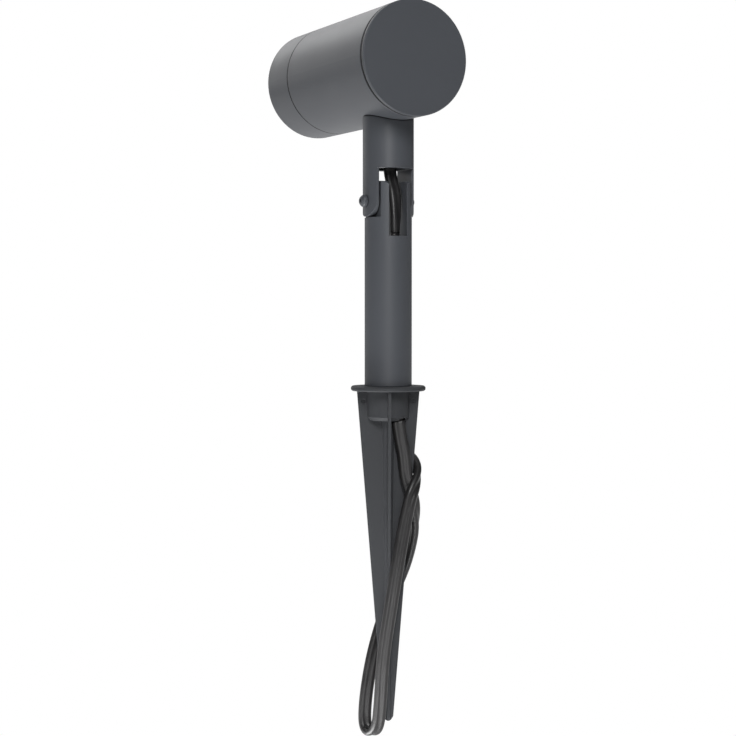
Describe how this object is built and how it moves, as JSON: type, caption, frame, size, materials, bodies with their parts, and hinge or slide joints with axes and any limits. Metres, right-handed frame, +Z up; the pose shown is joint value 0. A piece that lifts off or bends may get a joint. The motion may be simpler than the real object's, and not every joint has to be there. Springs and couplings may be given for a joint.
{
  "type": "garden spike spotlight",
  "caption": "Round cylindrical spotlight on a tilting fork and round stem, standing on a ribbed ground spike with a trailing cable.",
  "frame": {"origin": "centre of the flange's underside, where the lamp meets the ground", "axes": "+Z up the stem, the spike points down along -Z, the light shines along -Y and tilts about X"},
  "size_m": [0.06, 0.1219, 0.3859],
  "materials": {
    "anthracite_coat": "satin powder coat",
    "black_rubber": "matte",
    "spike_plastic": "matte, fine grain",
    "fastener_steel": "zinc plated",
    "glass": "clear",
    "reflector": "mirror-coated glass",
    "ceramic": "unglazed ceramic",
    "cable": "satin black sheath",
    "core_brown": "insulated core",
    "core_blue": "insulated core",
    "brass": "turned",
    "terminal_plastic": "moulded",
    "silicone": "silicone",
    "nylon": "nylon",
    "zinc_strip": "zinc plated strip"
  },
  "bodies": {
    "spike": {"ground_spike": "spike_plastic", "spigot_ring": "black_rubber", "cable_in_spike": "cable", "free_cable": "cable", "core_brown_end": "core_brown", "core_blue_end": "core_blue", "wire_ferrules": "fastener_steel"},
    "stem": {"stem_tube": "anthracite_coat", "pivot_screw_left": "anthracite_coat", "pivot_screw_right": "anthracite_coat", "friction_washer_left": "nylon", "friction_washer_right": "nylon", "cable_in_stem": "cable", "cable_in_clevis": "cable"},
    "head": {"head_body": "anthracite_coat", "rear_cover": "anthracite_coat", "rear_cover_seal": "black_rubber", "cowl_seal": "black_rubber", "lamp_ring": "silicone", "lamp_body": "reflector", "lamp_lens": "glass", "lamp_pins": "fastener_steel", "lampholder": "ceramic", "lampholder_bracket": "zinc_strip", "holder_screws": "fastener_steel", "bracket_screws": "fastener_steel", "terminal_block": "terminal_plastic", "terminal_screws": "brass", "wire_brown": "core_brown", "wire_blue": "core_blue", "lampholder_leads": "silicone", "neck_fork": "anthracite_coat", "neck_gasket": "black_rubber", "threaded_nipple": "brass", "nipple_nut": "brass", "lock_washer": "fastener_steel", "cable_bush": "black_rubber", "strain_relief_clip": "nylon", "cable_in_neck": "cable"},
    "glass": {"front_glass": "glass", "glass_gasket": "black_rubber"},
    "cowl": {"front_cowl": "anthracite_coat"}
  },
  "joints": [
    {"name": "pan", "type": "hinge", "parent": "spike", "child": "stem", "pos_m": [0, 0, 0.0026], "axis": [0, 0, 1], "range_deg": [-170, 170]},
    {"name": "tilt", "type": "hinge", "parent": "stem", "child": "head", "pos_m": [0, 0, 0.1], "axis": [1, 0, 0], "range_deg": [-90, 90], "deforming": ["cable_in_clevis"]},
    {"name": "cowl_travel", "type": "slide", "parent": "head", "child": "glass", "axis": [0, -1, 0], "range_m": [0, 0.012]},
    {"name": "cowl_turn", "type": "hinge", "parent": "glass", "child": "cowl", "pos_m": [0, -0.078, 0.172], "axis": [0, -1, 0], "range_deg": [0, 1440]}
  ],
  "couplings": [
    {"joint": "cowl_travel", "follows": "cowl_turn", "m_per_rad": 0.00047746}
  ]
}
